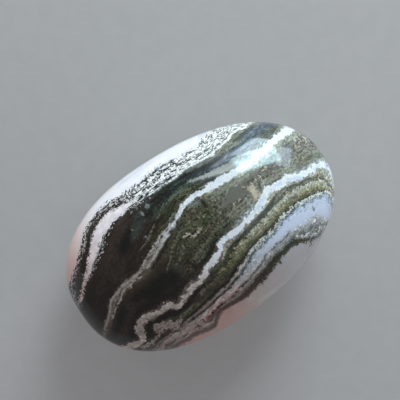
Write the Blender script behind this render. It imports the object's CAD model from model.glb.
import math

import bpy
import numpy as np
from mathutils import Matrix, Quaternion, Vector


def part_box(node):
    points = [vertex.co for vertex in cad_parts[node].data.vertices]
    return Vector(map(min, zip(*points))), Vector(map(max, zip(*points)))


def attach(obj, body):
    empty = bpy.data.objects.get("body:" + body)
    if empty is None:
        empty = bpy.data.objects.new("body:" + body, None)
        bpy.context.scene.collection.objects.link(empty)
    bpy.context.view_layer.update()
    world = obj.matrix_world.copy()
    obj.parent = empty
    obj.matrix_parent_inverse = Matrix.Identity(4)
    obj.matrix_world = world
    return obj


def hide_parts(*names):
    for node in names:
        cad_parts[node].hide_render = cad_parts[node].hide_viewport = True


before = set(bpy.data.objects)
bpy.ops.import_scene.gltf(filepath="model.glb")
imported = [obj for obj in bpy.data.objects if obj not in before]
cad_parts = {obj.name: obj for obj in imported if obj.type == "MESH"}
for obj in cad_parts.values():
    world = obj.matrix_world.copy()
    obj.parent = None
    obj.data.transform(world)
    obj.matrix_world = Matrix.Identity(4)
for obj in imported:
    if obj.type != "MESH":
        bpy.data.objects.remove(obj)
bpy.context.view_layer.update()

# Looks of a polished ocean jasper palm stone, in metres and in the frame of its CAD model. Its bands, veins
# and marks were traced by hand from the photograph as pixel coordinates of the 400 x 400 picture, x to the
# right and y down. Each point of the stone's surface gets its depth inside every traced mark, and the
# material turns those depths into polished stone. Specks and fibres finer than that are noise.

MM = 0.001

# How the photograph sees the stone: straight down on its broad face, turned in the picture
PICTURE_SIZE = 400.0
PIXELS_PER_MM = 4.0
STONE_TURN = math.radians(33.4)
STONE_CENTRE = (202.4, 234.2)
CAMERA_HEIGHT_MM = 350.0
PICTURE_RIGHT = Vector((math.cos(STONE_TURN), -math.sin(STONE_TURN), 0.0))
PICTURE_UP = Vector((math.sin(STONE_TURN), math.cos(STONE_TURN), 0.0))

# The pebble's form, as its CAD solid has it, and the slight waves of its polish as a share of its radius
STONE_LOW, STONE_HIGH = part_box("stone")
FLAT_DEPTH_MM = 0.35
PLAN_POWER = 2.26
SECTION_POWER = 2.12
BLUNT_TAIL = 0.0175
PLAN_SKEW = 0.0025
CROWN_SHIFT = 0.018
POLISH_WAVE = 0.0006
GRID_STEPS = 126

# How far the layers under the stone lean away from what the photograph shows, in pixels
HIDDEN_LEAN = (20.0, 26.0)


# The camera

def stone_middle():
    """The middle of the stone's box, in metres."""
    return (STONE_LOW + STONE_HIGH) / 2


def camera_place():
    """The camera's place, in metres: above the point that the picture's middle shows."""
    right = (PICTURE_SIZE / 2 - STONE_CENTRE[0]) / PIXELS_PER_MM
    down = (PICTURE_SIZE / 2 - STONE_CENTRE[1]) / PIXELS_PER_MM
    aim = stone_middle() + (PICTURE_RIGHT * right - PICTURE_UP * down) * MM
    return aim + Vector((0.0, 0.0, CAMERA_HEIGHT_MM * MM))


def add_camera():
    """A camera that looks straight down, with the picture's field of view."""
    data = bpy.data.cameras.new("camera")
    data.sensor_fit = "HORIZONTAL"
    data.angle = 2 * math.atan(PICTURE_SIZE / 2 / (PIXELS_PER_MM * CAMERA_HEIGHT_MM))
    camera = bpy.data.objects.new("camera", data)
    camera.location = camera_place()
    camera.rotation_euler = (0.0, 0.0, -STONE_TURN)
    bpy.context.scene.collection.objects.link(camera)
    bpy.context.scene.camera = camera


# The stone's surface

def cube_grid(steps):
    """The points of a cube's surface as whole numbers from 0 to steps, each point once, and the squares that
    join them, with their corners in order as seen from outside."""
    line = np.arange(steps + 1)
    first, second = np.meshgrid(line, line, indexing="ij")
    sheets = []
    for axis in range(3):
        for side in (0, steps):
            sheet = np.empty((steps + 1, steps + 1, 3), dtype=np.int64)
            sheet[..., axis] = side
            sheet[..., (axis + 1) % 3] = first
            sheet[..., (axis + 2) % 3] = second
            sheets.append(sheet if side else sheet.transpose(1, 0, 2))
    sheets = np.stack(sheets)
    keys = sheets @ np.array([1, steps + 1, (steps + 1) ** 2])
    _, chosen, number = np.unique(keys.ravel(), return_index=True, return_inverse=True)
    number = number.reshape(keys.shape)
    corners = (number[:, :-1, :-1], number[:, 1:, :-1], number[:, 1:, 1:], number[:, :-1, 1:])
    return sheets.reshape(-1, 3)[chosen], np.stack(corners, axis=-1).reshape(-1, 4)


def pebble_radius(direction):
    """The pebble's radius, in half-sizes, along unit directions: a superellipsoid's radius times smooth
    low-order swellings that blunt the tail, skew the plan and fill the crown."""
    x, y, z = direction.T
    plan = np.abs(x) ** PLAN_POWER + np.abs(y) ** PLAN_POWER
    body = plan ** (SECTION_POWER / PLAN_POWER) + np.abs(z) ** SECTION_POWER
    blunt = BLUNT_TAIL * (x**3 - 3 * x * y**2)
    skew = PLAN_SKEW * (3 * x**2 * y - y**3)
    return body ** (-1 / SECTION_POWER) * (1 + blunt + skew - CROWN_SHIFT * x * z)


def hand_polish(direction):
    """The slight waviness that grinding by hand leaves, as a share of the radius: three sine waves that
    cross."""
    x, y, z = direction.T
    waves = np.sin(9 * x + 4 * y + 1.0) + np.sin(7 * y - 6 * z + 2.0) + np.sin(5 * z + 8 * x - 7 * y)
    return POLISH_WAVE * waves


def pebble_points():
    """The stone's surface points, in metres, and its squares: a cube's grid, evened out by a tangent, pushed
    along each direction to the pebble's radius, brought to the CAD box and ground flat under its belly."""
    lattice, squares = cube_grid(GRID_STEPS)
    cube = np.tan((lattice / GRID_STEPS * 2 - 1) * math.pi / 4)
    direction = cube / np.linalg.norm(cube, axis=1, keepdims=True)
    low, high = np.array(STONE_LOW), np.array(STONE_HIGH)
    full_low = low - [0.0, 0.0, FLAT_DEPTH_MM * MM]
    half_size = (high - full_low) / 2
    points = direction * (pebble_radius(direction) + hand_polish(direction))[:, None] * half_size
    reach_low, reach_high = points.min(axis=0), points.max(axis=0)
    points = full_low + (points - reach_low) / (reach_high - reach_low) * (high - full_low)
    points[:, 2] = np.maximum(points[:, 2], low[2])
    return points, squares


# Where the photograph shows each point

# Two corners far outside the picture, which close any guide curve on its lower-right side
FAR_CORNERS = [(900.0, 900.0), (900.0, -100.0)]


def seen_places(points):
    """The pixel at which the camera sees each point. Under the stone's widest level, where the photograph
    can't see, the layers lean and wander more and more, so that the underside has a pattern of its own."""
    camera = np.array(camera_place())
    offset = points - camera
    focal = PIXELS_PER_MM * CAMERA_HEIGHT_MM
    right = offset @ np.array(PICTURE_RIGHT)
    up = offset @ np.array(PICTURE_UP)
    x = PICTURE_SIZE / 2 + focal * right / -offset[:, 2]
    y = PICTURE_SIZE / 2 - focal * up / -offset[:, 2]
    widest = stone_middle()[2]
    hidden = np.clip((widest - points[:, 2]) / widest, 0.0, 1.0)
    hidden = hidden**2 * (3 - 2 * hidden)
    x_drift = HIDDEN_LEAN[0] + 9.0 * np.sin(y / 23.0) + 5.0 * np.sin(x / 17.0 + 1.0)
    y_drift = HIDDEN_LEAN[1] + 8.0 * np.sin(x / 29.0) + 5.0 * np.sin(y / 15.0 + 2.0)
    return np.stack([x + hidden * x_drift, y + hidden * y_drift], axis=1)


def round_corners(curve):
    """The curve with its corners cut once: each stretch keeps its middle half, and the ends stay."""
    curve = np.asarray(curve, dtype=float)
    near = curve[:-1] * 0.75 + curve[1:] * 0.25
    far = curve[:-1] * 0.25 + curve[1:] * 0.75
    cut = np.stack([near, far], axis=1).reshape(-1, curve.shape[1])
    return np.vstack([curve[:1], cut[1:-1], curve[-1:]])


def stroke_depth(seen, stroke):
    """How deep each seen place lies inside a stroke of (x, y, half-width) points, in mm: the half-width at
    the nearest point of the middle line less the distance to it, so that it is negative outside."""
    stroke = round_corners(stroke)
    depth = np.full(len(seen), -1e3)
    for start, end in zip(stroke[:-1], stroke[1:]):
        line = end[:2] - start[:2]
        share = np.clip((seen - start[:2]) @ line / (line @ line), 0.0, 1.0)
        distance = np.linalg.norm(seen - start[:2] - share[:, None] * line, axis=1)
        depth = np.maximum(depth, start[2] + share * (end[2] - start[2]) - distance)
    return depth / PIXELS_PER_MM


def strokes_depth(seen, strokes):
    """The greatest depth inside any of several strokes, in mm."""
    return np.max([stroke_depth(seen, stroke) for stroke in strokes], axis=0)


def curve_side(seen, curve):
    """The distance of each seen place to a curve, in mm, positive on its lower-right side. The side is found
    by counting how often a level line to the left crosses the outline that two far corners close."""
    curve = round_corners(curve)
    outline = np.vstack([curve, FAR_CORNERS])
    inside = np.zeros(len(seen), dtype=bool)
    for start, end in zip(outline, np.roll(outline, -1, axis=0)):
        spans = (start[1] > seen[:, 1]) != (end[1] > seen[:, 1])
        rise = end[1] - start[1]
        slope = (end[0] - start[0]) / rise if rise else 0.0
        inside ^= spans & (start[0] + (seen[:, 1] - start[1]) * slope < seen[:, 0])
    thin = np.hstack([curve, np.zeros((len(curve), 1))])
    distance = -stroke_depth(seen, thin)
    return np.where(inside, distance, -distance)


# The guide curves, from the upper left to the lower right, each with its level in mm across the layers

RIM_EDGE = [
    (330, 60), (202, 134), (201, 146), (195, 149), (190, 151), (184, 154), (178, 158), (170, 161),
    (164, 164), (157, 168), (152, 171), (147, 176), (143, 180), (138, 184), (130, 189), (123, 194),
    (116, 198), (108, 202), (102, 208), (97, 212), (92, 219), (87, 226), (84, 233), (82, 240), (81, 248),
    (79, 255), (77, 262), (75, 268), (73, 275), (70, 283), (66, 292), (0, 420),
]
SPECKLE_EDGE = [
    (350, 60), (252, 124), (246, 128), (241, 130), (236, 132), (231, 136), (229, 140), (225, 143),
    (221, 147), (217, 152), (213, 155), (209, 158), (204, 161), (199, 164), (193, 167), (188, 169),
    (183, 172), (178, 176), (172, 179), (168, 181), (163, 185), (158, 188), (152, 191), (147, 195),
    (143, 199), (138, 203), (131, 207), (127, 211), (123, 215), (118, 219), (113, 224), (110, 228),
    (107, 232), (104, 237), (105, 243), (104, 248), (101, 253), (99, 258), (96, 263), (95, 268),
    (93, 273), (90, 277), (86, 281), (84, 287), (83, 293), (82, 300), (80, 310), (20, 430),
]
FIRST_VEIN_LINE = [
    (360, 60), (292, 122), (283, 132), (277, 138), (272, 142), (264, 150), (255, 158), (247, 164),
    (240, 169), (230, 175.5), (220, 181), (210, 187), (200, 192.5), (193, 196), (186, 200), (181, 205),
    (180, 210), (178, 215), (175, 219), (170, 226), (163, 231), (161, 238), (158, 243), (155, 249),
    (151, 254), (148, 260), (147, 266), (143, 271), (138, 275), (131, 279), (127, 283), (123, 287),
    (120, 291), (116, 296), (112, 300), (110.5, 306), (109, 313), (108, 320), (106, 327), (60, 440),
]
SECOND_VEIN_LINE = [
    (440, 330), (338, 200), (334, 184), (333.5, 179), (331, 173), (328, 168), (324, 164.5), (318, 163.5),
    (313, 167), (308, 170.5), (302, 172.5), (296, 175.5), (290, 177.5), (285, 178.5), (281, 181.5),
    (276, 184.5), (271, 187.5), (266, 191), (263, 196), (261.5, 201), (258, 206), (253.5, 211),
    (249, 216), (244, 220), (240, 225), (235, 230), (230, 234), (225, 238), (221, 241.5), (218.7, 246),
    (218.2, 251), (217, 256), (213, 260), (208.5, 264.5), (205.5, 269.5), (204, 274.5), (200.5, 279),
    (195, 284), (191, 288), (188, 292.5), (185.3, 296), (183, 300.5), (181.5, 304.5), (177, 307.5),
    (172, 306), (168, 304.5), (164, 308.5), (159, 312.5), (153, 315), (147, 317), (141.5, 320.5),
    (138, 325), (139, 331), (142, 336), (143.5, 340), (137, 344), (129, 346.5), (121, 350), (80, 440),
]
THIRD_VEIN_LINE = [
    (450, 350), (340, 225), (334.5, 206), (332, 197), (328, 191.5), (323, 191.5), (317, 194),
    (311, 196.5), (304, 200), (299, 202.5), (294, 206.5), (289, 211), (284, 215.5), (279, 220),
    (276, 225), (271, 230.5), (266, 235.5), (261, 240.5), (256, 244.5), (252, 250), (249, 256),
    (246, 261), (242.5, 266), (240, 271), (236.5, 276), (231.5, 280), (228, 285), (222, 291), (215, 297),
    (208, 304), (201, 309), (194, 314.5), (187, 320), (181, 325.5), (173, 331), (164, 338), (156, 345),
    (120, 440),
]
BORDER_LINE = [
    (460, 320), (345, 236), (327, 227), (323, 232), (320, 236), (316, 238.5), (311, 239.5), (306, 241),
    (301, 241), (297, 242), (293, 244), (289.5, 247.5), (286.5, 251), (283, 254), (279.5, 257.5),
    (277, 261.5), (273, 265.5), (270, 270), (265, 275), (260, 280), (255.5, 284.5), (252, 288.5),
    (247.5, 293), (243, 297), (237, 300.5), (230, 304), (224, 307.5), (219, 312), (216.5, 318),
    (216, 323), (211, 327.5), (203, 331), (196, 333.5), (189, 338), (180, 343), (165, 352), (140, 440),
]
LAYER_GUIDES = [
    (RIM_EDGE, 0.0),
    (SPECKLE_EDGE, 5.0),
    (FIRST_VEIN_LINE, 12.0),
    (SECOND_VEIN_LINE, 24.0),
    (THIRD_VEIN_LINE, 31.0),
    (BORDER_LINE, 37.0),
]


def layer_position(sides):
    """A place across the layers, in mm: each guide curve's level on that curve, even steps between two
    curves by the shares of the distances to them, and the distance itself outside the first and the last."""
    levels = [level for _, level in LAYER_GUIDES]
    position = levels[0] + sides[0]
    for here, beyond, level, next_level in zip(sides[:-1], sides[1:], levels[:-1], levels[1:]):
        share = here / np.maximum(here - beyond, 1e-6)
        position = np.where(here > 0, level + np.clip(share, 0.0, 1.0) * (next_level - level), position)
    return np.where(sides[-1] > 0, levels[-1] + sides[-1], position)


# The traced strokes, as (x, y, half-width) points in pixels

FIRST_VEIN = [
    (303, 112, 6), (290, 128, 5.2), (282, 134, 4.6), (274, 141, 4), (265, 149, 3.8), (255, 158, 3.6),
    (247, 164, 3.2), (240, 168.5, 3.4), (230, 175.5, 4), (220, 182, 4.1), (210, 187.3, 3.4),
    (200, 192.5, 2.6), (193, 196, 2.3), (186.8, 200.8, 3), (183.3, 205.6, 3), (181.3, 210.6, 2.4),
    (178.8, 215.6, 2.1), (175.3, 221.6, 2.2), (171, 227.4, 2.6), (166, 233, 2.9), (162.6, 240, 3),
    (159.4, 246, 3.2), (155.2, 252, 3.5), (151, 258, 3.6), (146.8, 264, 3.5), (141, 271, 3),
    (136, 276, 3), (130, 280, 3.2), (125, 285, 3), (120, 290, 3), (116, 295, 3.4), (113, 301, 3.6),
    (112, 307, 3.4), (110, 314, 3.2), (108, 321, 2.6), (105, 328, 2), (102, 337, 1.6),
]
FIRST_VEIN_STRANDS = [
    [(140, 272, 0.9), (133, 278, 0.8), (127, 282.5, 0.9), (121, 287, 0.8), (117, 294, 0.9),
     (111, 299, 0.8), (110, 309, 0.9), (108.5, 318, 0.8), (106, 326, 0.7)],
    [(141, 277, 0.8), (133, 281, 0.9), (128, 288, 0.8), (123, 291, 0.9), (121, 298, 0.7), (118, 304, 0.8),
     (115, 311, 0.8), (112, 318, 0.6)],
    [(170, 224, 0.7), (166, 230, 0.8), (160, 236, 0.8), (157, 243, 0.8), (151, 250, 0.9), (147, 257, 0.8),
     (143, 265, 0.8)],
    [(168, 230, 0.6), (166, 236, 0.7), (162, 243, 0.7), (159, 250, 0.7), (155, 256, 0.8), (151, 262, 0.8),
     (147, 268, 0.7)],
    [(132, 281, 0.5), (131, 288, 0.6)], [(115, 300, 0.6), (119, 304, 0.6)],
]
SECOND_VEIN = [
    (336, 190, 0.8), (334, 184, 0.9), (333.5, 179, 1.2), (331, 173, 1.8), (328, 168, 2.4),
    (324, 164.5, 3.2), (318.5, 164.5, 3.4), (313.5, 168.3, 3.6), (308.5, 171.8, 3.8), (302.5, 173.8, 4),
    (296.5, 176.8, 4.2), (290.5, 178.8, 4.5), (285.5, 179.8, 4.8), (281.5, 182.8, 4.6),
    (276.5, 185.8, 4.3), (272, 188.5, 4.3), (267, 191.6, 4), (263.8, 196.4, 3.8), (262, 201.4, 3.7),
    (258.8, 206.7, 3.6), (254.2, 211.7, 3.5), (250, 217, 3.2), (245.3, 221.3, 3), (241.4, 226.3, 3.1),
    (236.4, 231.4, 3.5), (230.8, 234.9, 3.9), (225.6, 238.6, 3.7), (221.6, 242.1, 3.4), (219.2, 246.7, 3),
    (218.5, 251, 3), (217, 256, 3.4), (213, 260, 3.8), (209, 265, 3.1), (206.2, 270.3, 2.8),
    (204.7, 275.2, 2.6), (201.2, 279.7, 2.8), (195.6, 284.6, 2.8), (191.4, 288.4, 2.8),
    (188.2, 292.6, 2.9), (185.3, 296, 2.6), (183, 300.5, 2.4), (181.5, 304.5, 2), (177, 307.5, 2.4),
    (172, 306, 2.8), (168, 304.5, 3.6), (164, 308.5, 2.8), (159, 312.5, 2.5), (153, 315, 2.8),
    (147, 317, 3), (141.5, 320.5, 3.4), (139.3, 325, 4.2), (140.3, 331, 4), (142.5, 336, 3.6),
    (143.5, 340, 2.8), (137, 344, 2.6), (129, 346.5, 2.8), (121, 350, 2.6),
]
THIRD_VEIN = [
    (336, 212, 1.5), (334.5, 206, 1.6), (332, 197, 1.6), (328, 191.5, 1.8), (323, 191.5, 2),
    (317.5, 195, 2), (311.5, 197.4, 1.9), (304.6, 201.4, 1.9), (299.8, 203.9, 1.8), (294.6, 207.4, 1.7),
    (289.4, 211.4, 1.6), (284.2, 215.8, 1.5), (279, 220.3, 1.5), (276.5, 225, 1.8), (274, 229.5, 2.2),
    (271.5, 232.5, 2), (268, 236.5, 2), (263.5, 240.5, 2.7), (261, 243.5, 2.4), (257, 246.5, 1.8),
    (253, 250.5, 1.8), (249.5, 254.5, 1.8), (247.5, 258, 1.5), (245, 262, 1.6), (242.5, 265.5, 1.9),
    (240, 270, 1.3), (238, 274, 1.4), (235, 277, 1.5), (231.5, 280, 1.4), (230, 284, 1.1),
    (227.5, 286.5, 1.2), (222.5, 289.5, 1.2), (219, 294, 1.2), (214, 297, 1.2), (212, 300.5, 1.1),
    (207.5, 305, 1.1), (204.5, 307.5, 1.1), (200.5, 310.5, 1), (197.5, 314, 0.9), (194, 317, 0.9),
    (189, 322, 0.9), (185, 325, 0.9), (182.5, 329, 0.8),
]
DARK_BORDER = [
    [(322, 231, 0.4), (320, 234.5, 0.5), (316, 236.8, 0.7), (311, 238.8, 1.4), (306, 240, 2),
     (301, 240.4, 2.5), (296, 241.5, 3), (292.5, 243, 3), (289, 246, 2.3), (286, 249.5, 2.4),
     (282.5, 253, 3), (278.5, 256, 3.2), (276, 260, 3.6), (272, 264, 3.8), (269, 269.5, 3.5),
     (264, 274, 3.7), (259, 278.5, 3.3), (255, 283.5, 2.4), (251.5, 287.5, 2.5), (247, 292, 2.6),
     (242.5, 296.5, 2), (238.5, 299.5, 1.4), (233, 302.5, 0.9), (226, 306, 1), (221, 309, 1.1),
     (217, 313, 1.1), (212, 316, 1.2), (208, 317.5, 1.3)],
    [(207, 318, 1), (212, 319.5, 1.8), (215.5, 322.5, 1.6), (215.5, 325.5, 1.4), (212, 327.5, 1.3),
     (207, 329.5, 1), (201, 331.5, 0.9), (196, 333.5, 1), (191, 336.5, 1.2), (186, 339.5, 1),
     (180, 343, 1.1), (173, 346.5, 1.3)],
    [(277, 260, 2), (280.5, 263, 1)], [(263, 276, 2.4), (265, 278.5, 1.6)],
    [(260, 280, 2), (262, 282.5, 1.4)], [(290, 247, 1.2), (290, 249, 0.6)],
    [(302, 241, 1.4), (305, 243.5, 0.7)], [(311, 239, 1), (311, 245, 0.4)],
    [(247, 293, 1.6), (247.5, 295, 0.8)],
]
PALE_STRIP = [
    (130.5, 204, 0.8), (126.5, 206.5, 2.4), (121, 210.5, 4), (114, 214.5, 4.9), (107.5, 220, 5.1),
    (102, 228, 5.4), (97.7, 236, 5), (95.6, 243, 4), (94, 250, 3.8), (92.6, 256, 3.8), (91, 262, 3.2),
    (89.7, 267, 2.3), (88.3, 272, 1.9), (87, 277, 2.2), (85, 281, 1.2), (83.5, 286, 1.1),
    (82.5, 291, 1.1), (81.5, 296, 1.3), (80.5, 301, 1.2),
]
DARK_STRIP = [
    (112, 207, 1), (108, 211, 2), (103, 216, 2.8), (98, 221, 2.6), (94, 226, 2.8), (90.5, 231, 3),
    (88.5, 236, 3.3), (88.7, 241, 2.6), (87.5, 247, 2.5), (86, 253, 2.8), (84.5, 259, 3.8),
    (83.5, 265, 4.2), (83, 270, 3), (83, 275, 1.6),
]
BLACK_CRUMBS = [
    (151, 196, 1.4), (143, 201.5, 2), (135, 205.5, 2.2), (128, 210, 1.8), (121, 215.5, 1.5),
    (115.5, 221, 1.4), (110.5, 228, 1.7), (107, 235, 2.2), (104.5, 241, 2.5), (103, 247, 2.7),
    (101, 253, 2.6), (98.5, 259, 1.8), (96, 265, 1.6), (93.5, 271, 1.4), (90, 277, 1.1),
]
GREY_LENS = [
    (188, 182.5, 0.6), (198, 178.5, 1.3), (207, 175.5, 2), (216, 172, 3), (225, 168.5, 3.6),
    (234, 165.5, 3.6), (242, 162, 2.5), (250, 158, 1.5),
]
RIM_ROWS = [
    [(112, 203, 0.5), (120, 198, 0.8), (127, 195, 1), (133, 187, 1.4), (143, 181, 1.7), (151, 175, 1.7),
     (158, 168, 1.5), (163, 165, 1.4), (172, 162, 1)],
    [(106, 213, 1), (118, 207, 0.9), (126, 200, 0.9), (133, 194, 1.2), (140, 190, 1.2), (148, 187, 1.3),
     (154, 183, 1.3), (158, 178, 1.1), (160, 173, 1.1), (168, 168, 1.1), (175, 163, 0.9)],
    [(147, 194, 0.8), (154, 189, 0.9), (161, 184, 0.9), (168, 179.5, 0.8), (176, 175, 0.7),
     (184, 170, 0.6)],
    [(176, 166, 0.6), (184, 162, 0.7), (193, 158, 0.6), (201, 153, 0.6), (209, 148, 0.5)],
    [(196, 162, 0.5), (205, 157, 0.6), (213, 150, 0.6), (219, 144, 0.5), (227, 138, 0.5)],
    [(182, 155, 0.6), (192, 151, 0.6), (201, 145, 0.6), (210, 140, 0.5), (221, 136, 0.5), (231, 131, 0.4)],
]
WHITE_THREADS = [
    [(176, 174.5, 0.4), (182, 170.5, 0.7), (190, 166, 0.7), (199, 161.5, 0.7), (207, 157.5, 0.7),
     (214, 154, 0.6)],
    [(205, 159, 0.3), (212, 153, 0.6), (219, 147.5, 0.6), (225, 142, 0.5), (232, 136, 0.4)],
    [(163, 185, 0.6), (170, 181, 0.8), (177, 176.5, 0.6)],
    [(147, 196, 0.5), (154, 191.5, 0.6), (161, 187.5, 0.5)],
]
PALE_LOBES = [
    [(155.5, 327, 3), (163, 326, 4), (171, 325, 3.6), (177, 323.5, 2.8), (181, 320, 1.6)],
    [(158, 332, 1.4), (162, 331, 1.8)],
    [(159, 335, 1.2), (155, 340.5, 1.5), (149, 344, 1.8), (143, 347, 1.4)],
    [(173, 338.5, 2.8), (180, 336, 3.2), (186, 332, 2.4), (192, 328.5, 2.2)],
    [(167, 338, 0.7), (172, 333, 0.8)],
    [(189, 327, 1.4), (194, 323.5, 2.2), (200, 322, 2.6), (205, 325, 2.6)],
]
PALE_THREADS = [
    [(204, 290, 1.5), (199, 295, 2), (195, 301, 1.6), (192, 306, 1.4), (187, 312, 1.2), (181, 317, 1.1)],
    [(252, 281, 0.8), (245, 289, 1), (237, 296.5, 1), (230, 300, 0.6)],
    [(184, 326, 0.7), (188, 323, 0.7), (193, 322.5, 0.6)],
    [(165, 337, 0.7), (169, 335.5, 0.8), (173, 334, 0.7)],
    [(151, 199, 0.6), (160, 193, 0.7), (170, 186, 0.7), (178, 180, 0.5)],
    [(165, 204, 0.8), (172, 197, 1.3), (180, 191, 1.3), (190, 189, 1), (198, 185, 0.8), (206, 180, 0.5)],
    [(176, 199, 0.6), (184, 194, 0.7), (192, 192, 0.6)],
    [(218, 156, 0.6), (227, 150, 1.2), (236, 144.5, 1.2), (243, 140, 0.8)],
    [(228, 144, 0.5), (233, 142, 0.7), (239, 141, 0.5)],
    [(164, 204, 0.5), (160, 212, 0.6), (157, 219, 0.5)],
    [(154, 226, 0.7), (150, 235, 0.9), (146, 243, 0.8), (141, 249, 0.5)],
    [(209, 199, 0.6), (217, 194.5, 0.9), (226, 189, 0.9), (234, 183, 0.9), (242, 178, 0.8),
     (250, 174, 0.6)],
    [(226, 223, 0.6), (229, 217, 1), (233, 210.5, 1.2), (238, 206, 1), (243, 203.5, 0.6)],
    [(166, 272, 0.5), (170, 262, 0.7), (172, 251, 0.8), (176, 241, 0.8), (181, 230, 0.6)],
    [(214, 231, 0.6), (208.5, 240, 0.8), (203, 247, 0.9), (198, 253, 0.8), (193, 261, 0.8),
     (189, 269, 0.5)],
    [(217, 237, 0.5), (212, 245, 0.6), (206, 252, 0.7), (201, 259, 0.6), (196, 266, 0.5)],
    [(175, 268, 0.4), (180, 258, 0.6), (184, 249, 0.6)],
    [(268, 182, 0.6), (276, 177, 1.1), (284, 172, 0.9), (291, 169, 0.6)],
    [(289, 162, 0.5), (299, 156, 0.7), (306, 149, 0.7), (311, 144, 0.5)],
]
DARK_THREADS = [
    [(283, 197.5, 0.5), (275, 203.3, 1), (267.3, 211.3, 1.3), (259, 219.5, 1.2), (250.5, 228, 1.2),
     (243, 236, 1.1), (236.5, 242.8, 1)],
    [(186, 259, 0.6), (191, 264, 1.4), (195, 267, 2), (200, 264, 1)],
    [(289, 232, 0.7), (285.5, 237, 0.9), (281, 242, 0.6), (277, 243.5, 0.7), (274.5, 247.5, 0.8),
     (271.5, 250.5, 0.8)],
    [(267, 254, 0.5), (264, 259, 0.7), (262, 263, 0.7), (259, 267, 0.9), (256, 271, 1), (252, 275, 0.7),
     (249, 280, 0.9), (243, 284, 1), (239.5, 288, 0.8)],
    [(252, 127, 1), (246, 131, 1.2), (240, 137, 1.8), (234, 141, 1)],
    [(172, 184, 0.8), (182, 177, 1.4), (192, 172.5, 1.7), (202, 168.5, 2), (212, 164, 2),
     (222, 159.5, 1.6)],
    [(196, 187, 0.8), (205, 182, 1.3), (214, 179.5, 1.3), (222, 177.5, 0.9), (229, 173.5, 0.6)],
    [(152, 202, 2), (158, 196, 3), (165, 190, 3), (172, 185, 2)],
    [(216, 239, 1), (212.5, 247, 2.4), (209.5, 255, 2.6), (204, 262, 2), (200.5, 269, 1.8),
     (197, 276, 1.2)],
    [(173, 226, 0.8), (169, 235, 1.5), (166, 243, 1.8), (162, 251, 1.8), (157, 260, 1.5), (152, 268, 0.8)],
    [(202, 201, 1.5), (206, 206, 1.8)], [(249, 181, 0.8), (247, 184, 1.2), (243.5, 189, 0.8)],
    [(259, 182, 0.9), (260, 188, 1.1), (262, 192, 0.6)],
    [(310, 178, 1), (300, 183, 1.2), (290, 187, 1.2), (281, 190, 1.3), (275, 196, 1.4), (271, 203, 1.4),
     (265, 211, 1.4), (258, 218, 1.4), (250, 226, 1.3), (243, 235, 1.2), (235, 242, 1), (229, 250, 0.9)],
    [(316, 194, 0.6), (306, 198, 0.9), (298, 202, 1), (291, 207, 1), (283, 214, 1.1), (275, 222.5, 1.1),
     (268, 230.5, 1.1), (260, 238, 1), (252, 245.5, 1), (247, 253, 0.9), (240, 263, 0.9), (232, 274, 0.8)],
    [(150, 324, 2), (150.5, 330, 3), (152, 336, 2.4)],
    [(157, 320, 1.6), (166, 315.5, 2.4), (176, 312, 2.4), (186, 305, 2.4), (194, 297, 2), (199, 289, 1.2)],
    [(160, 317, 2), (168, 314.5, 3.6), (177, 313, 3)], [(187, 305, 3.2), (193, 300, 3.6), (199, 296, 2)],
    [(181, 331.5, 0.8), (175, 331, 0.9), (170, 332, 1), (165, 335, 1.4), (161, 339, 1.6), (156, 342, 1.3)],
    [(178, 338, 0.5), (172, 342, 0.9), (166, 345, 1)],
]
TAIL_THREADS = [
    [(239, 276, 0.9), (234, 281, 1), (231, 287, 1.1), (226, 291, 1.1), (221, 295.5, 1.1), (217, 298, 1),
     (212.5, 304, 1), (210, 306.5, 1), (204, 311, 1), (200.5, 313.5, 1), (197, 316.5, 0.9),
     (192.5, 320, 0.8)],
    [(246, 282, 0.6), (242, 286, 0.9)], [(239, 290, 0.7), (235, 294, 0.9), (232, 297, 0.6)],
    [(224, 303, 0.7), (218, 307, 0.8)], [(214, 310, 0.8), (212, 313, 0.8)],
    [(236, 270, 0.8), (232, 275, 1.2), (229, 280, 1.4), (226, 284, 1.3), (220, 288, 1.4), (213, 294, 1.5),
     (209, 299, 1.4), (204, 303.5, 1.4), (199, 308, 1.4), (195, 312.5, 1.2), (189, 317, 1.1),
     (184, 321, 1), (181, 326, 0.9)],
    [(203, 320, 0.9), (206, 322.5, 0.8)], [(196, 324, 0.7), (200, 327, 0.8)],
    [(188, 334, 0.6), (183, 337, 0.7)],
]
BEAD_PITS = [
    [(303.5, 205.5, 1.2), (304.5, 206.5, 1)], [(293, 211.5, 1.3), (292, 212.8, 1)],
    [(287.5, 216.5, 1.2), (286, 218, 1)], [(283, 221.5, 1.1), (281.5, 225, 1.2)],
    [(277, 231, 1), (273, 234.5, 1.1)], [(270.5, 237, 1.1), (269, 238, 1)],
    [(267, 241, 1.5), (264, 244, 1.3)], [(261, 246.5, 0.9), (259, 248, 1.2)],
    [(256, 251, 1), (254.5, 252.3, 1.1)], [(252, 254.5, 1.3), (251, 256.5, 1)],
    [(250.5, 259, 0.9), (249.5, 262, 1.3)], [(247, 265.5, 1.1), (244.5, 268.5, 1)],
    [(242, 271, 1.4), (242, 274, 1.6)], [(239, 278, 1), (238, 279.5, 0.9)],
    [(311, 202, 1), (312.5, 201, 0.8)], [(320, 197.5, 1), (321.5, 197, 0.8)],
    [(314, 208.5, 1.1), (314.2, 210, 0.8)], [(303, 231.5, 1.2), (304, 232.5, 1)],
    [(312, 226.5, 1), (310, 229, 1.1)], [(247.5, 183.8, 1), (248.5, 185.5, 1)],
    [(192.5, 232.3, 1.5), (193.5, 232.7, 1.4)],
]
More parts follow.
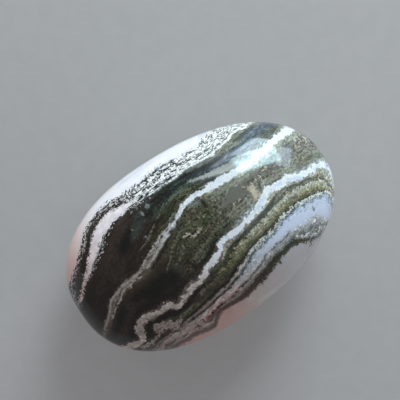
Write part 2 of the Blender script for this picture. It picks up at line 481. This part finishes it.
CREAM_MARKS = [
    [(317, 169.5, 0.6), (318.5, 173, 0.7), (319, 177, 0.5)],
    [(248, 187, 2), (251, 188, 3.6), (254, 191.5, 3.6), (256, 196, 2.6), (255, 201, 1.2)],
    [(251, 183.5, 1.2), (254, 187, 1.5), (258, 193, 1.2)],
    [(183, 237.5, 0.8), (187, 235.2, 1.3), (190, 233.8, 0.9), (191.5, 235.6, 0.9), (194.5, 236, 0.9),
     (196.5, 233.5, 1), (198.5, 231, 1.1), (200.5, 228.5, 0.8)],
    [(258, 174.5, 0.7), (260, 177, 0.7), (262.5, 180, 0.7)], [(264.6, 167.2, 1), (265.6, 166.8, 0.9)],
    [(262, 171.5, 0.7), (266, 168, 0.6)], [(234, 204.3, 0.9), (234.8, 204.8, 0.8)],
    [(243.2, 186.4, 0.9), (244, 186.8, 0.8)], [(303, 137.5, 1.2), (305.5, 138.2, 1)],
    [(295, 145.5, 0.9), (296.5, 148, 0.7), (299, 147, 0.7)],
    [(223, 247, 0.7), (226, 248, 1), (225, 252, 1), (222, 259, 0.9)],
    [(271, 196, 1), (275, 194.5, 1.1), (278, 192, 0.9)],
]
CRYSTAL_BEDS = [
    [(296, 141, 2.5), (300, 138.5, 4), (305, 139, 3.5)], [(260, 174, 1), (264, 170, 1)],
    [(236, 202, 1), (240, 199, 1)], [(286, 139, 1), (284, 143, 1.5)], [(253, 191, 3), (258, 196, 2)],
    [(224, 250, 1.5), (221, 257, 1)], [(186, 236, 2), (196, 234, 3)],
]
ORBS = [
    [(147, 205.5, 2.1), (147.4, 206.5, 2.1)], [(142, 213, 1.5), (142.5, 214, 1.5)],
    [(131.8, 229.2, 0.8), (132.2, 229.6, 0.8)], [(183, 246, 0.7), (183.4, 246.4, 0.6)],
    [(189, 246, 0.6), (189.3, 246.4, 0.6)], [(183, 253, 0.6), (183.3, 253.3, 0.6)],
    [(145, 236.5, 1.2), (146, 237.5, 1)], [(136, 207, 0.9), (137, 208, 0.9)],
    [(132, 212, 0.9), (131, 214, 0.8)],
]
MIST_PATCHES = [
    [(189, 205.5, 2.6), (194, 204, 3.6), (199, 203, 2.6)],
    [(170, 222, 2), (172.5, 217, 2.5), (175, 213, 1.4)], [(139, 201, 1.2), (144, 203, 1.4)],
    [(216, 188.5, 1.6), (224, 184.5, 1.6), (233, 180, 1.2)],
]
CLEAR_PATCHES = [
    [(226, 202, 4), (233, 196, 7), (241, 190, 7), (246, 184, 3)],
    [(129, 230, 3), (125, 240, 6), (124, 250, 5)], [(150, 296, 6), (162, 284, 9), (176, 272, 7)],
]
GREEN_PATCHES = [
    [(232, 139, 3), (237, 135, 4), (242, 131, 3)], [(263, 135, 4), (270, 133, 5), (277, 131, 3)],
    [(180, 191, 4), (190, 184, 5), (200, 180, 3)], [(221, 233, 2), (228, 226, 3), (233, 221, 3)],
    [(308, 158, 3), (315, 156, 4), (320, 156, 2)], [(156, 212, 5), (166, 206, 4)],
    [(212, 214, 5), (204, 222, 4)], [(224, 250, 2.5), (217, 264, 2.5), (210, 273, 2)],
    [(324, 171, 2), (318, 169, 1.5)],
]
SLATE_PATCHES = [
    [(216, 161, 3), (224, 156, 4), (233, 151, 3)], [(244, 136, 4), (252, 132, 6), (261, 128, 4)],
    [(139, 217, 4), (138, 227, 5), (134, 236, 3)], [(268, 185, 2), (275, 182, 3), (282, 178, 2)],
    [(80, 271, 3), (79.5, 280, 4), (79, 288, 3.6), (79, 296, 2.6)],
    [(198, 183, 2), (210, 180, 3), (221, 177, 2)], [(284, 143, 2.5), (288, 150, 4), (285, 158, 3)],
    [(177, 222, 1), (179, 225, 2), (177, 229, 1)],
]
BROWN_PATCHES = [
    [(128, 300, 4), (131, 316, 5), (124, 332, 4)], [(100, 268, 3), (103, 280, 4.5), (100, 291, 4)],
    [(234, 270, 2), (222, 280, 4.5), (212, 288, 5), (200, 297, 4)],
    [(125, 220, 4), (122, 229, 5), (114, 239, 5), (109, 250, 4), (108, 264, 6), (112, 274, 5)],
    [(203, 237, 4), (209, 232, 4)], [(299, 166, 3), (304, 162, 4), (309, 156, 3)],
    [(271, 178, 2.5), (279, 174, 2.5)], [(188, 217, 4), (196, 211, 4), (206, 200, 3)],
    [(112, 256, 4), (118, 266, 6), (120, 278, 6)], [(243, 205, 3), (238, 212, 3)],
    [(152, 333, 3), (160, 338, 5), (168, 335, 4)], [(160, 346, 4), (170, 346, 4)],
]
TRACED_MARKS = {
    "first_vein": [FIRST_VEIN],
    "first_vein_strands": FIRST_VEIN_STRANDS,
    "second_vein": [SECOND_VEIN],
    "third_vein": [THIRD_VEIN],
    "dark_border": DARK_BORDER,
    "pale_strip": [PALE_STRIP],
    "dark_strip": [DARK_STRIP],
    "black_crumbs": [BLACK_CRUMBS],
    "grey_lens": [GREY_LENS],
    "rim_rows": RIM_ROWS,
    "white_threads": WHITE_THREADS,
    "pale_lobes": PALE_LOBES,
    "pale_threads": PALE_THREADS,
    "dark_threads": DARK_THREADS,
    "tail_threads": TAIL_THREADS,
    "bead_pits": BEAD_PITS,
    "cream_marks": CREAM_MARKS,
    "crystal_beds": CRYSTAL_BEDS,
    "orbs": ORBS,
    "mist_patches": MIST_PATCHES,
    "clear_patches": CLEAR_PATCHES,
    "green_patches": GREEN_PATCHES,
    "slate_patches": SLATE_PATCHES,
    "brown_patches": BROWN_PATCHES,
}


# Colours

def tint(red, green, blue):
    """A colour given as the picture's 0 to 255 levels, as linear light."""
    shares = [level / 255 for level in (red, green, blue)]
    linear = [s / 12.92 if s <= 0.04045 else ((s + 0.055) / 1.055) ** 2.4 for s in shares]
    return (*linear, 1.0)


# The stone's colours, from pale quartz to black jasper
SNOW = tint(240, 243, 245)
ICE = tint(206, 222, 244)
LAVENDER = tint(214, 226, 248)
BLUSH = tint(232, 202, 196)
FROST = tint(176, 184, 190)
GLASS = tint(184, 186, 190)
WARM_GLASS = tint(180, 172, 170)
ROSE_GLASS = tint(180, 148, 141)
CREAM = tint(196, 194, 176)
BONE = tint(160, 147, 140)
MIST = tint(158, 164, 150)
SEA_GREY = tint(140, 144, 132)
ASH = tint(112, 112, 104)
STRAW = tint(150, 149, 124)
OLIVE = tint(107, 105, 74)
MOSS = tint(76, 78, 60)
DARK_MOSS = tint(44, 46, 32)
SLATE = tint(84, 97, 103)
PEWTER = tint(98, 110, 108)
TEAL = tint(66, 80, 78)
DEEP_TEAL = tint(36, 45, 43)
INK = tint(20, 22, 20)
TAUPE = tint(108, 96, 88)
MAUVE = tint(132, 102, 100)
UMBER = tint(66, 54, 45)
DARK_UMBER = tint(44, 34, 27)
BLACK = tint(22, 20, 15)

# The colours across the layers at three places along the stone, as (level in mm, colour)
HEAD_LAYERS = [
    (5.0, SEA_GREY), (6.0, ASH), (6.8, SLATE), (8.4, SLATE), (9.5, ASH), (11.0, SEA_GREY), (13.0, CREAM),
    (13.8, MIST), (15.0, SEA_GREY), (16.5, ASH), (19.5, ASH), (20.8, SEA_GREY), (22.4, SEA_GREY),
    (23.3, FROST), (25.8, CREAM), (26.4, SEA_GREY), (26.8, ASH), (27.2, ASH), (27.6, CREAM), (28.3, MIST),
    (28.9, STRAW), (29.7, OLIVE), (30.2, MOSS), (30.9, MOSS), (31.2, ICE), (32.0, ICE), (32.6, LAVENDER),
    (33.8, LAVENDER), (34.4, FROST), (35.0, GLASS), (35.6, PEWTER), (36.2, GLASS),
]
MIDDLE_LAYERS = [
    (5.0, PEWTER), (5.9, DEEP_TEAL), (6.6, TEAL), (7.3, INK), (8.0, DEEP_TEAL), (8.7, TEAL),
    (9.6, DARK_MOSS), (10.7, DARK_MOSS), (11.3, MOSS), (12.8, MOSS), (13.9, DARK_MOSS), (15.4, MOSS),
    (16.1, DARK_MOSS), (17.2, MOSS), (19.5, DARK_MOSS), (20.5, UMBER), (21.2, MOSS), (21.9, INK),
    (22.8, DARK_MOSS), (24.8, BONE), (25.7, ASH), (26.2, MOSS), (26.8, DARK_MOSS), (27.6, OLIVE),
    (28.6, OLIVE), (29.4, DARK_MOSS), (30.0, INK), (30.7, TAUPE), (31.8, FROST), (35.0, WARM_GLASS),
    (36.3, ASH), (37.0, UMBER),
]
TAIL_LAYERS = [
    (5.0, UMBER), (6.0, DARK_UMBER), (7.5, DARK_UMBER), (9.0, DARK_UMBER), (11.0, DARK_UMBER),
    (11.9, UMBER), (13.2, TAUPE), (14.0, UMBER), (15.5, DARK_UMBER), (17.0, BLACK), (19.5, DARK_UMBER),
    (21.2, BLACK), (22.4, DARK_UMBER), (24.6, BONE), (25.3, UMBER), (26.1, BLACK), (26.8, DARK_MOSS),
    (27.5, MOSS), (28.6, DARK_MOSS), (29.4, MOSS), (30.1, DARK_UMBER), (31.0, BONE), (31.8, UMBER),
    (32.3, WARM_GLASS), (34.4, ROSE_GLASS), (34.9, MAUVE), (35.3, UMBER), (35.9, BONE), (36.5, TAUPE),
    (37.0, UMBER), (37.5, MAUVE),
]


# Levels across the layers, in mm: where the speckled band ends, the low and the high level of the bands that
# have a texture of their own, and where the clear side begins
SPECKLED_UP_TO = 5.0
TEAL_BAND = (5.0, 12.0)
MOSSY_BAND = (12.8, 23.0)
PAST_SECOND_VEIN = (23.5, 25.5)
OLIVE_BAND = (25.0, 30.6)
OLIVE_CORE = (26.8, 28.6)
BEAD_LINE = (31.3, 31.95)
LAVENDER_BAND = (32.3, 34.2)
GREY_POCKET = (34.2, 37.0)
CLEAR_FROM = 37.2

# Where the layers' colours change along the stone, in mm from its middle. Past the mossy band the tail's
# colours reach further towards the head, by the tail's shift.
HEAD_RISE = (2.0, 17.0)
TAIL_RISE = (-15.0, 1.0)
TAIL_SHIFT = 7.0

POLISH_ROUGHNESS = 0.09
QUARTZ_IOR = 1.54


# Materials

def set_stops(elements, stops):
    """Gives a colour ramp its (share, colour) stops, of which the first and last are its own two ends."""
    elements[0].color = stops[0][1]
    elements[1].color = stops[-1][1]
    for share, colour in stops[1:-1]:
        elements.new(share).color = colour


class Wire:
    """A shader socket. Arithmetic on it adds Math nodes to its finish."""

    def __init__(self, finish, socket):
        self.finish = finish
        self.socket = socket

    def __add__(self, other):
        return self.finish.math("ADD", self, other)

    __radd__ = __add__

    def __sub__(self, other):
        return self.finish.math("SUBTRACT", self, other)

    def __rsub__(self, other):
        return self.finish.math("SUBTRACT", other, self)

    def __mul__(self, other):
        return self.finish.math("MULTIPLY", self, other)

    __rmul__ = __mul__

    def __rpow__(self, other):
        return self.finish.math("POWER", other, self)

    def __abs__(self):
        return self.finish.math("ABSOLUTE", self)


class Finish:
    """A material under construction. Every node comes from its one method, node()."""

    def __init__(self, name):
        self.material = bpy.data.materials.new(name)
        self.material.use_nodes = True
        self.tree = self.material.node_tree
        self.tree.nodes.clear()

    def node(self, kind, settings=None, inputs=None, output=0):
        """A new node with its settings, then its inputs as values or wires, as the wire from one output.
        The setting named stops is a colour ramp's."""
        made = self.tree.nodes.new(kind)
        for name, value in (settings or {}).items():
            if name == "stops":
                set_stops(made.color_ramp.elements, value)
            else:
                setattr(made, name, value)
        for name, value in (inputs or {}).items():
            if isinstance(value, Wire):
                self.tree.links.new(value.socket, made.inputs[name])
            else:
                made.inputs[name].default_value = value
        return None if output is None else Wire(self, made.outputs[output])

    def math(self, operation, first, second=0.0):
        return self.node("ShaderNodeMath", {"operation": operation}, {0: first, 1: second})

    def attribute(self, name):
        return self.node("ShaderNodeAttribute", {"attribute_name": name}, output=2)

    def vector(self, x, y, z):
        return self.node("ShaderNodeCombineXYZ", inputs={0: x, 1: y, 2: z})

    def noise(self, place, size, detail=2.0, roughness=0.55):
        """Noise about 0, mostly from -1 to 1, with lumps of the given size in the place's unit."""
        inputs = {"Vector": place, "Scale": 1.0 / size, "Detail": detail, "Roughness": roughness}
        return (self.node("ShaderNodeTexNoise", inputs=inputs) - 0.5) * 5.0

    def rise(self, value, low, high):
        """0 below low, 1 above high and a smooth rise between them."""
        inputs = {"Value": value, "From Min": low, "From Max": high}
        return self.node("ShaderNodeMapRange", {"interpolation_type": "SMOOTHSTEP"}, inputs)

    def mix(self, share, first, second):
        """The first colour where share is 0 and the second where it is 1."""
        inputs = {0: share, 6: first, 7: second}
        return self.node("ShaderNodeMix", {"data_type": "RGBA"}, inputs, output=2)

    def shade(self, colour, factor):
        """The colour made darker or lighter by a factor."""
        light = colour if isinstance(colour, Wire) else colour[:3]
        return self.node("ShaderNodeVectorMath", {"operation": "SCALE"}, {0: light, "Scale": factor})

    def ramp(self, value, stops):
        """The colour that rising (value, colour) stops give at a value, in even steps between two stops."""
        low, high = stops[0][0], stops[-1][0]
        share = self.node("ShaderNodeMapRange", inputs={"Value": value, "From Min": low, "From Max": high})
        shares = [((level - low) / (high - low), colour) for level, colour in stops]
        return self.node("ShaderNodeValToRGB", {"stops": shares}, {0: share})


class Jasper(Finish):
    """Polished ocean jasper: the traced layers, veins and marks under one clear polish. Lengths are in mm,
    and the levels of the layers are those of the guide curves."""

    def __init__(self):
        super().__init__("polished_ocean_jasper")
        metres = self.node("ShaderNodeTexCoord", output=3)
        self.place = self.node("ShaderNodeVectorMath", {"operation": "SCALE"}, {0: metres, "Scale": 1 / MM})
        self.x, y, z = (self.along_axis(axis) for axis in range(3))
        self.round = y + z
        self.layer = self.attribute("layer")
        self.crumb = self.noise(self.place, 0.5, detail=1.0, roughness=0.65)
        self.grain = self.noise(self.place, 1.0, detail=2.0, roughness=0.7)
        self.lobe = self.noise(self.place, 1.3, detail=0.0)
        self.wander = self.noise(self.place, 2.4, detail=3.0)
        self.cloud = self.noise(self.place, 5.0, detail=2.0)
        self.level = self.layer + self.lobe * 0.2 + self.crumb * 0.28 + self.grain * 0.2
        along = self.x + self.cloud * 2.5
        self.head = self.rise(along, *HEAD_RISE)
        self.tail = 1 - self.rise(along - self.rise(self.layer, 20.0, 29.0) * TAIL_SHIFT, *TAIL_RISE)

    def along_axis(self, axis):
        """The place's coordinate along one axis."""
        return self.node("ShaderNodeSeparateXYZ", inputs={0: self.place}, output=axis)

    def by_place(self, head, middle, tail):
        """A colour that changes from the stone's head over its middle to its tail."""
        return self.mix(self.tail, self.mix(self.head, middle, head), tail)

    def streak(self, size, stretch, detail=3.0):
        """Noise drawn out along the layers, stretch times as long as it is wide."""
        across = self.layer + self.wander * 0.14
        place = self.vector(across, self.x * (1 / stretch), self.round * (1 / stretch))
        return self.noise(place, size, detail, roughness=0.65)

    def between(self, band, soft=0.3):
        """1 between a band's two levels and 0 outside them, with uneven edges."""
        low, high = band
        past_low = self.rise(self.level, low - soft, low + soft)
        past_high = self.rise(self.level, high - soft, high + soft)
        return past_low * (1 - past_high)

    def mark(self, colour, name, paint, jitter=0.25, soft=0.15, strength=1.0):
        """The colour with the paint over it inside the traced marks of that name."""
        depth = self.attribute(name) + self.crumb * jitter
        return self.mix(self.rise(depth, -soft, soft) * strength, colour, paint)

    def layered(self):
        """The colours across the layers, fuzzy at every edge and streaked or clear as the layer is."""
        colours = [self.ramp(self.level, stops) for stops in (HEAD_LAYERS, MIDDLE_LAYERS, TAIL_LAYERS)]
        clear = self.rise(self.attribute("clear_patches") + self.wander * 0.4, -0.6, 0.8)
        colour = self.mix(clear * (1 - self.tail), self.by_place(*colours), ASH)
        colour = self.stained(self.mix(clear * self.tail, colour, BLACK))
        streaky = self.between(TEAL_BAND, 0.5) + self.between(MOSSY_BAND, 0.8) * 0.6
        glassy = self.rise(self.layer, CLEAR_FROM, CLEAR_FROM + 0.6)
        smooth = self.between(LAVENDER_BAND) * self.head + glassy + clear * 0.8
        outer = self.rise(self.level, *PAST_SECOND_VEIN)
        streaky = streaky + outer * self.tail * 0.8
        smooth = self.rise(smooth + self.tail * 0.5 * (1 - outer), 0.0, 1.0)
        mossy = self.between(MOSSY_BAND, 0.8) * (1 - self.head * 0.7) + self.between(OLIVE_BAND)
        mossy = mossy - self.between(OLIVE_CORE) * self.head * 0.7 + self.between(GREY_POCKET) * 0.6
        mossy = mossy * (1 - self.tail * 0.8) * (1 - clear)
        contrast = self.crumb * 0.35 + self.grain * 0.3 + self.streak(0.4, 7.0) * (0.25 + streaky * 0.9)
        contrast = contrast + (self.crumb * 0.7 + self.grain * 0.8) * mossy
        colour = self.shade(colour, 2.0 ** (contrast * (1 - smooth * 0.9)))
        fibres = 1 - self.rise(abs(self.streak(0.8, 1.8) + self.crumb * 0.25), 0.0, 0.25)
        pale = self.by_place(tint(168, 170, 150), tint(112, 110, 86), tint(72, 66, 56))
        return self.mix(fibres * mossy * 0.6, colour, pale)

    def stained(self, colour):
        """The colour with slate, green, brown and misty patches in it."""
        green = self.by_place(tint(86, 98, 80), tint(54, 62, 46), tint(40, 42, 34))
        colour = self.mark(colour, "green_patches", green, 0.5, 1.0, 0.6)
        slate = self.by_place(tint(88, 98, 107), tint(36, 39, 44), tint(62, 68, 66))
        colour = self.mark(colour, "slate_patches", slate, 0.5, 0.8, 0.75)
        brown = self.by_place(tint(102, 94, 82), tint(60, 54, 46), tint(58, 49, 43))
        colour = self.mark(colour, "brown_patches", brown, 0.5, 1.1, 0.6)
        pits = self.rise(self.grain + self.crumb, -0.6, 0.3)
        mist = self.mix(pits, tint(158, 168, 162), tint(74, 82, 76))
        return self.mark(colour, "mist_patches", mist, 0.6, 0.3, 0.9)

    def threaded(self, colour):
        """The colour with the tail's pale lobes, and the thin threads that run along the layers."""
        lobe = self.shade(tint(156, 143, 138), 2.0 ** (self.crumb * 0.4 + self.grain * 0.3))
        colour = self.mark(colour, "pale_lobes", lobe, 0.45, 0.16, 0.9)
        pale = self.by_place(tint(158, 158, 142), tint(108, 114, 92), tint(122, 111, 104))
        colour = self.mark(colour, "pale_threads", pale, 0.35, 0.22, 0.75)
        dark = self.by_place(tint(66, 72, 66), tint(26, 26, 20), tint(30, 22, 17))
        return self.mark(colour, "dark_threads", dark, 0.35, 0.22, 0.85)

    def speckled(self, colour):
        """The colour with the white rim, the band of white quartz inside it that black dashes and nets break
        up, and the dark and the pale strip at the blunt end."""
        inner = self.layer + self.crumb * 0.2 + self.lobe * 0.15 + self.head * (1 - self.head) * 2.2
        band = 1 - self.rise(inner, SPECKLED_UP_TO - 0.15, SPECKLED_UP_TO + 0.05)
        band = band * (1 - self.rise(self.attribute("slate_patches") + self.crumb * 0.4, -0.4, 0.2))
        blunt = 1 - self.rise(self.x - self.round * 0.35, -36.0, -20.0)
        dash = self.streak(0.36, 4.5, detail=1.0) + self.crumb * 0.3 + self.grain * 0.3
        dash = dash + self.tail * 0.02 + blunt * 0.44 + 0.1
        fibres = 1 - self.rise(abs(self.streak(0.8, 4.0, detail=1.0) + self.crumb * 0.15), 0.04, 0.16)
        ink = self.by_place(tint(104, 114, 108), tint(36, 44, 44), tint(30, 25, 22))
        white = self.mix(self.rise(self.wander + self.crumb * 0.6, 0.1, 1.0), tint(250, 252, 252), FROST)
        white = self.mix(blunt, white, tint(176, 172, 172))
        speckle = self.mix(self.rise(dash, 0.35, 0.6), self.mix(fibres * 0.8, white, ink), ink)
        colour = self.mix(band, colour, speckle)
        rows = self.rise(self.attribute("rim_rows") + self.crumb * 0.4 + self.grain * 0.2, -0.1, 0.08)
        colour = self.mix(rows * band * 0.9, colour, ink)
        edge = 1 - self.rise(self.layer + self.crumb * 0.35 + self.grain * 0.3, -0.1, 0.1)
        haze = self.rise(self.streak(1.6, 8.0), -0.2, 1.0)
        rim = self.mix(haze, tint(245, 244, 248), tint(222, 228, 238))
        blush = self.mix(1 - self.rise(self.x + self.round * 0.2, -24.0, -8.0), rim, BLUSH)
        colour = self.mix(edge, colour, blush)
        bits = self.rise(self.crumb + self.grain * 0.4 + self.attribute("black_crumbs") * 1.2, 0.85, 1.2)
        crumbs = self.mix(bits, BLACK, tint(196, 194, 194))
        colour = self.mark(colour, "black_crumbs", crumbs, 0.6, 0.12, 0.9)
        colour = self.mark(colour, "white_threads", tint(236, 242, 240), 0.25, 0.14, 0.9)
        crust = self.mix(self.rise(self.crumb, 1.1, 1.6), DARK_UMBER, BLUSH)
        colour = self.mark(colour, "dark_strip", crust, 0.45, 0.12)
        pale = self.mix(self.rise(self.x, -32.0, -20.0), tint(236, 210, 203), tint(242, 234, 238))
        return self.mark(colour, "pale_strip", self.shade(pale, 1.0 + self.lobe * 0.08), 0.5, 0.1)

    def bordered(self, colour):
        """The colour with the cloudy clear chalcedony, and the dark jagged line before it."""
        ragged = self.layer + self.crumb * 0.25 + self.lobe * 0.15
        clear = self.rise(ragged, CLEAR_FROM + 0.2, CLEAR_FROM + 0.7)
        glass = self.by_place(GLASS, WARM_GLASS, ROSE_GLASS)
        glass = self.shade(glass, 1.0 + self.cloud * 0.05 + self.wander * 0.02)
        colour = self.mix(clear, colour, glass)
        border = self.by_place(tint(62, 64, 48), tint(52, 45, 37), tint(84, 62, 58))
        border = self.shade(border, 2.0 ** (self.crumb * 0.8))
        return self.mark(colour, "dark_border", border, 0.55, 0.14)

    def vein(self, colour, name, edge, body, jitter, hidden=None):
        """The colour with a vein of frosted quartz over it, edge-coloured at its ragged edges. hidden is
        the share of the vein that its host stone covers again."""
        depth = self.attribute(name) + self.lobe * 0.28 + self.crumb * jitter + self.grain * 0.1
        quartz = self.mix(self.rise(depth, -0.02, 0.25), edge, body)
        share = self.rise(depth, -0.1, 0.06)
        return self.mix(share if hidden is None else share * (1 - hidden), colour, quartz)

    def veined(self, colour):
        """The colour with the three pale veins, and the dark beads and threads beside the third one."""
        low = 1 - self.rise(self.x + self.cloud * 1.5, -9.0, 1.0)
        frost = self.crumb + self.grain * 0.6
        holes = low * self.rise(frost, -0.35, 0.15) * 0.85
        body = self.by_place(tint(236, 242, 243), tint(244, 247, 252), tint(186, 174, 166))
        dim = self.by_place(ICE, tint(176, 188, 206), tint(120, 108, 100))
        body = self.mix(self.rise(frost, 0.15, 0.9) * (0.55 + self.tail * 0.45), body, dim)
        edge = self.by_place(FROST, FROST, tint(124, 112, 105))
        body = self.shade(body, 2.0 ** ((1 - self.rise(self.x, -11.0, -5.0)) * -0.6))
        colour = self.vein(colour, "first_vein", self.mix(low, edge, ASH), body, 0.2, holes)
        strand = self.by_place(SNOW, tint(196, 198, 198), tint(190, 178, 170))
        colour = self.mark(colour, "first_vein_strands", strand, 0.35, 0.14, 0.9)
        core = self.attribute("second_vein") * 0.6 + self.wander * 0.7 + self.grain * 0.5
        body = self.by_place(tint(244, 250, 252), tint(242, 244, 252), tint(206, 194, 186))
        blue = self.mix(self.tail, tint(208, 224, 244), tint(160, 150, 146))
        body = self.mix(self.rise(core, 0.3, 0.9) * 0.9, body, blue)
        body = self.shade(body, 2.0 ** (frost * (0.1 + self.tail * 0.35) - self.tail * 0.15))
        colour = self.vein(colour, "second_vein", edge, body, 0.2)
        body = self.by_place(tint(236, 242, 238), tint(200, 198, 190), tint(140, 128, 122))
        colour = self.vein(colour, "third_vein", self.by_place(MIST, ASH, TAUPE), body, 0.35)
        beads = self.between(BEAD_LINE, 0.12)
        beads = beads * self.rise(self.grain + self.crumb * 0.6, -0.2, 0.2) * 0.75
        bead = self.by_place(tint(64, 84, 94), tint(52, 54, 50), UMBER)
        colour = self.mix(beads * (1 - self.tail), colour, bead)
        return self.mark(colour, "tail_threads", tint(31, 26, 20), 0.3, 0.1, 0.92)

    def dotted(self, colour):
        """The colour with the cream crystals, fuzzy orbs and dark pits over it."""
        depth = self.attribute("orbs") + self.crumb * 0.25
        orb = self.mix(self.rise(depth, 0.2, 0.45), tint(150, 160, 156), tint(92, 98, 94))
        colour = self.mix(self.rise(depth, -0.15, 0.2) * 0.65, colour, orb)
        worn = self.rise(self.grain + self.crumb, -0.3, 0.8)
        cream = self.mix(worn, tint(212, 203, 184), tint(172, 158, 140))
        colour = self.mark(colour, "cream_marks", cream, 0.4, 0.16, 0.9)
        crystals = self.rise(self.crumb + self.grain * 0.4, 0.3, 0.7)
        bed = self.rise(self.attribute("crystal_beds") + self.grain * 0.3, -0.2, 0.4) * crystals
        colour = self.mix(bed * 0.75, colour, tint(208, 202, 188))
        pit = self.by_place(tint(70, 86, 98), tint(50, 50, 46), tint(40, 32, 28))
        return self.mark(colour, "bead_pits", pit, 0.35, 0.16, 0.8)

    def finished(self):
        """The whole material."""
        colour = self.layered()
        lens = self.shade(tint(176, 180, 178), 1.0 + self.streak(0.6, 9.0) * 0.2)
        colour = self.mark(colour, "grey_lens", lens, 0.2, 0.35, 0.9)
        colour = self.speckled(self.threaded(colour))
        colour = self.dotted(self.veined(self.bordered(colour)))
        inputs = {"Base Color": colour, "Roughness": POLISH_ROUGHNESS, "IOR": QUARTZ_IOR}
        surface = self.node("ShaderNodeBsdfPrincipled", inputs=inputs)
        self.node("ShaderNodeOutputMaterial", inputs={"Surface": surface}, output=None)
        return self.material


PAPER_GRAIN_MM = 4.0


def floor_finish():
    """Plain pale matt paper with a faint glow, which keeps the stone's shadow light."""
    f = Finish("pale_floor")
    grain = f.noise(f.node("ShaderNodeTexCoord", output=3), PAPER_GRAIN_MM * MM)
    colour = f.mix(f.rise(grain, -1.0, 1.0), tint(160, 158, 158), tint(163, 161, 161))
    glow = {"Emission Color": (0.93, 0.96, 1.0, 1.0), "Emission Strength": 0.1}
    surface = f.node("ShaderNodeBsdfPrincipled", inputs={"Base Color": colour, "Roughness": 0.9, **glow})
    f.node("ShaderNodeOutputMaterial", inputs={"Surface": surface}, output=None)
    return f.material


# Pieces

# How far the floor reaches from the stone to each side, in metres
FLOOR_REACH = 2.0


def new_piece(name, points, faces, material):
    """A smooth-shaded mesh object of these points, in metres, at the origin."""
    mesh = bpy.data.meshes.new(name)
    mesh.from_pydata(points.tolist(), [], faces.tolist())
    mesh.materials.append(material)
    mesh.shade_smooth()
    piece = bpy.data.objects.new(name, mesh)
    bpy.context.scene.collection.objects.link(piece)
    return piece


def add_stone():
    """The whole stone, with the depths of its marks stored on its points."""
    points, squares = pebble_points()
    stone = new_piece("palm_stone", points, squares, Jasper().finished())
    seen = seen_places(points)
    fields = {"layer": layer_position([curve_side(seen, curve) for curve, _ in LAYER_GUIDES])}
    for name, strokes in TRACED_MARKS.items():
        fields[name] = strokes_depth(seen, strokes)
    for name, values in fields.items():
        field = stone.data.attributes.new(name, "FLOAT", "POINT")
        field.data.foreach_set("value", values.astype(np.float32))
    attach(stone, "root")
    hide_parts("stone")


def add_floor():
    """A wide plain square floor at the level that the stone rests on."""
    corners = np.array([(-1, -1, 0), (1, -1, 0), (1, 1, 0), (-1, 1, 0)]) * FLOOR_REACH
    floor = new_piece("floor", corners, np.array([[0, 1, 2, 3]]), floor_finish())


# Lights

def add_light(name, toward, distance, size, turn, power, colour, spread=True, mirrored=True):
    """A soft box that shines on the stone. toward is its direction as shares of the picture's right, its up
    and straight up, and turn is its turn about that direction, in degrees. It lights matt surfaces where
    spread, and the polish shows it where mirrored."""
    right, up, high = toward
    direction = (PICTURE_RIGHT * right + PICTURE_UP * up + Vector((0.0, 0.0, high))).normalized()
    data = bpy.data.lights.new(name, "AREA")
    data.shape = "RECTANGLE"
    data.size, data.size_y = size
    data.energy = power
    data.color = colour
    light = bpy.data.objects.new(name, data)
    light.location = stone_middle() + direction * distance
    facing = direction.to_track_quat("Z", "Y") @ Quaternion((0.0, 0.0, 1.0), math.radians(turn))
    light.rotation_euler = facing.to_euler()
    light.visible_diffuse = spread
    light.visible_glossy = mirrored
    bpy.context.scene.collection.objects.link(light)


# The lights that only light: name, direction, distance, size, turn, power and colour
SOFT_LIGHTS = [
    ("daylight", (0.26, 0.84, 0.47), 0.6, (0.335, 0.265), 56.0, 3.2, (0.82, 0.95, 1.0)),
    ("sky", (-0.25, 0.95, 0.18), 0.6, (0.50, 0.20), 0.0, 1.0, (0.92, 0.97, 1.0)),
    ("right_bounce", (0.93, -0.25, 0.27), 0.5, (0.40, 0.25), 0.0, 0.45, (0.90, 0.94, 1.0)),
    ("left_bounce", (-0.80, 0.52, 0.28), 0.5, (0.40, 0.30), 0.0, 0.32, (1.0, 0.82, 0.80)),
    ("low_bounce", (0.42, -0.85, 0.30), 0.5, (0.50, 0.28), 0.0, 0.40, (1.0, 0.86, 0.80)),
]
# The panes that only the polish mirrors, in the same order
MIRRORED_PANES = [
    ("low_pane", (0.271, 0.780, 0.569), 0.59, (0.30, 0.245), 40.0, 2.75, (0.60, 0.88, 1.0)),
    ("high_pane", (0.176, 0.937, 0.31), 0.6, (0.30, 0.20), 76.0, 1.55, (0.62, 0.84, 1.0)),
    ("left_pane", (-0.02, 0.92, 0.40), 0.59, (0.34, 0.05), 56.0, 0.22, (0.78, 0.84, 1.0)),
    ("right_pane", (0.571, 0.702, 0.425), 0.63, (0.13, 0.28), 30.0, 0.7, (0.74, 0.88, 1.0)),
]
SURROUNDINGS = (0.94, 0.97, 1.0, 1.0)
SURROUNDINGS_STRENGTH = 0.2


def add_lights():
    """Daylight, the sky and pale bounces from the right, the left and below, the panes that the crown
    mirrors, and dim grey surroundings."""
    for light in SOFT_LIGHTS:
        add_light(*light, mirrored=False)
    for pane in MIRRORED_PANES:
        add_light(*pane, spread=False)
    world = bpy.data.worlds.new("studio")
    world.use_nodes = True
    background = world.node_tree.nodes["Background"]
    background.inputs["Color"].default_value = SURROUNDINGS
    background.inputs["Strength"].default_value = SURROUNDINGS_STRENGTH
    bpy.context.scene.world = world


bpy.context.scene.view_settings.view_transform = "Standard"
add_camera()
add_stone()
add_floor()
add_lights()
